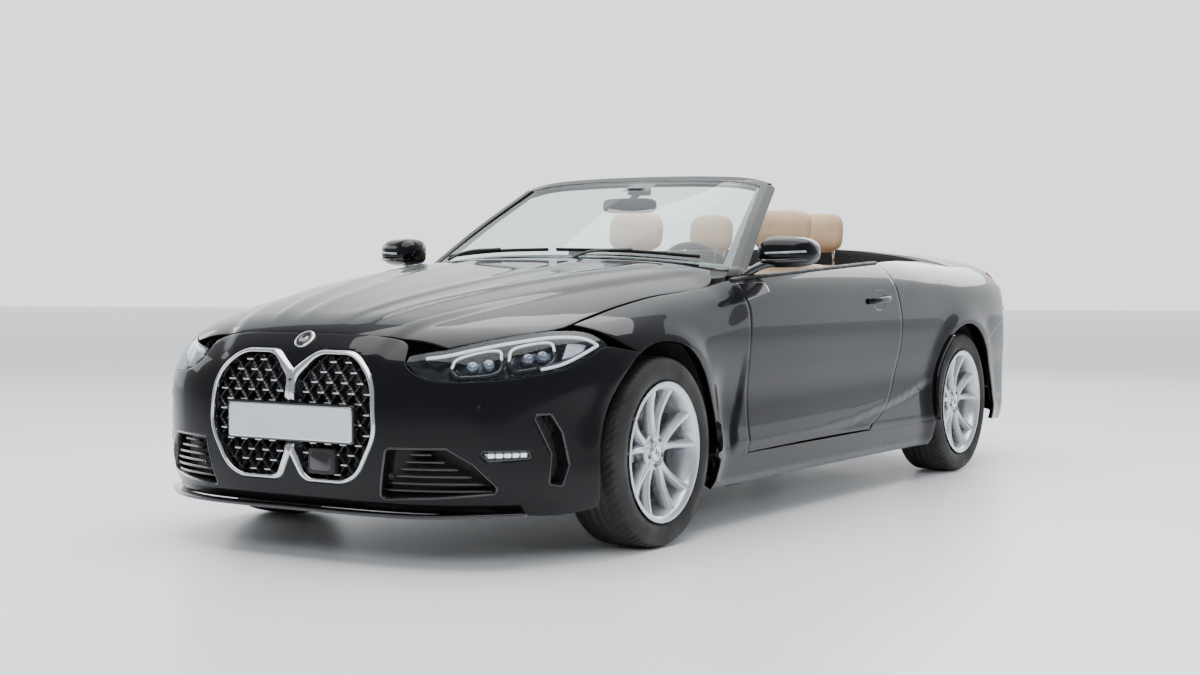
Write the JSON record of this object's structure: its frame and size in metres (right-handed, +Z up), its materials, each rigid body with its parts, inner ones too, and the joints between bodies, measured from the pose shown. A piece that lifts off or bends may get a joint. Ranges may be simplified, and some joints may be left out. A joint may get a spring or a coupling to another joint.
{
  "type": "four-seat convertible car with the roof folded away",
  "caption": "Open four-seat car: wheels roll and steer, doors, bonnet and boot lid swing, leather cabin under a raked windscreen.",
  "frame": {"origin": "centre of the car at ground level, half way between the bumpers", "axes": "+Z up, the front faces -Y, the driver and left side are +X"},
  "size_m": [2.0786, 4.768, 1.345],
  "materials": {
    "paint": "gloss black metallic",
    "chrome_trim": "satin bright",
    "plate": "plain silver",
    "lamp_glass": "clear",
    "engine": "cast",
    "black_plastic": "matt",
    "black_trim": "gloss",
    "glass": "clear",
    "tail_lens": "red",
    "soft_plastic": "grained",
    "black_leather": "smooth",
    "beige_leather": "grained",
    "steel": "brushed",
    "cast_metal": "cast",
    "carpet": "felt",
    "silver_wheel": "painted silver",
    "tyre": "rubber",
    "underbody": "matt coat"
  },
  "bodies": {
    "car_body": {"floor_pan": "underbody", "bulkhead": "underbody", "hinge_posts": "underbody", "rear_bulkhead": "underbody", "boot_tub": "carpet", "front_bumper": "paint", "grille": "chrome_trim", "front_plate": "plate", "headlights": "lamp_glass", "front_wing_left": "paint", "front_wing_right": "paint", "engine_block": "engine", "radiator": "black_plastic", "front_rails": "underbody", "rear_rails": "underbody", "front_crash_beam": "underbody", "windscreen_frame": "black_trim", "windscreen_glass": "glass", "side_skirts": "paint", "rear_quarter_left": "paint", "rear_quarter_right": "paint", "rear_deck": "black_trim", "rear_bumper": "paint", "tail_lights": "tail_lens", "dashboard": "soft_plastic", "centre_console": "soft_plastic", "front_seat_left": "beige_leather", "front_seat_right": "beige_leather", "rear_seat": "beige_leather", "interior_mirror": "black_plastic", "arch_liners": "black_plastic", "front_subframe": "underbody", "rear_subframe": "underbody", "exhaust": "steel"},
    "front_left_wheel": {"front_rim_left": "silver_wheel", "front_tyre_left": "tyre"},
    "front_right_wheel": {"front_rim_right": "silver_wheel", "front_tyre_right": "tyre"},
    "rear_left_wheel": {"rear_rim_left": "silver_wheel", "rear_tyre_left": "tyre"},
    "rear_right_wheel": {"rear_rim_right": "silver_wheel", "rear_tyre_right": "tyre"},
    "left_knuckle": {"knuckle_left": "cast_metal"},
    "right_knuckle": {"knuckle_right": "cast_metal"},
    "bonnet_panel": {"bonnet": "paint"},
    "boot_panel": {"boot_lid": "paint"},
    "left_door": {"door_left": "paint", "mirror_left": "paint"},
    "right_door": {"door_right": "paint", "mirror_right": "paint"},
    "steering": {"steering_wheel": "black_leather"}
  },
  "joints": [
    {"name": "steer_left", "type": "hinge", "parent": "car_body", "child": "left_knuckle", "pos_m": [0.65, -1.484, 0.33], "axis": [0, 0, 1], "range_deg": [-35, 35]},
    {"name": "steer_right", "type": "hinge", "parent": "car_body", "child": "right_knuckle", "pos_m": [-0.65, -1.484, 0.33], "axis": [0, 0, 1], "range_deg": [-35, 35]},
    {"name": "steering_wheel_turn", "type": "hinge", "parent": "car_body", "child": "steering", "pos_m": [0.38, -0.3, 0.9], "axis": [0, 0.9063, 0.4226], "range_deg": [-490, 490]},
    {"name": "front_left_spin", "type": "hinge", "parent": "left_knuckle", "child": "front_left_wheel", "pos_m": [0.795, -1.484, 0.33], "axis": [1, 0, 0], "continuous": true},
    {"name": "front_right_spin", "type": "hinge", "parent": "right_knuckle", "child": "front_right_wheel", "pos_m": [-0.795, -1.484, 0.33], "axis": [1, 0, 0], "continuous": true},
    {"name": "rear_left_spin", "type": "hinge", "parent": "car_body", "child": "rear_left_wheel", "pos_m": [0.795, 1.367, 0.33], "axis": [1, 0, 0], "continuous": true},
    {"name": "rear_right_spin", "type": "hinge", "parent": "car_body", "child": "rear_right_wheel", "pos_m": [-0.795, 1.367, 0.33], "axis": [1, 0, 0], "continuous": true},
    {"name": "door_left_hinge", "type": "hinge", "parent": "car_body", "child": "left_door", "pos_m": [0.815, -0.772, 0.6], "axis": [0, 0, -1], "range_deg": [0, 65]},
    {"name": "door_right_hinge", "type": "hinge", "parent": "car_body", "child": "right_door", "pos_m": [-0.815, -0.772, 0.6], "axis": [0, 0, 1], "range_deg": [0, 65]},
    {"name": "bonnet_hinge", "type": "hinge", "parent": "car_body", "child": "bonnet_panel", "pos_m": [0, -0.76, 0.925], "axis": [-1, 0, 0], "range_deg": [0, 48]},
    {"name": "boot_hinge", "type": "hinge", "parent": "car_body", "child": "boot_panel", "pos_m": [0, 1.36, 0.985], "axis": [1, 0, 0], "range_deg": [0, 70]}
  ],
  "couplings": [
    {"joint": "steer_right", "follows": "steer_left", "ratio": 1},
    {"joint": "steering_wheel_turn", "follows": "steer_left", "ratio": 14}
  ]
}
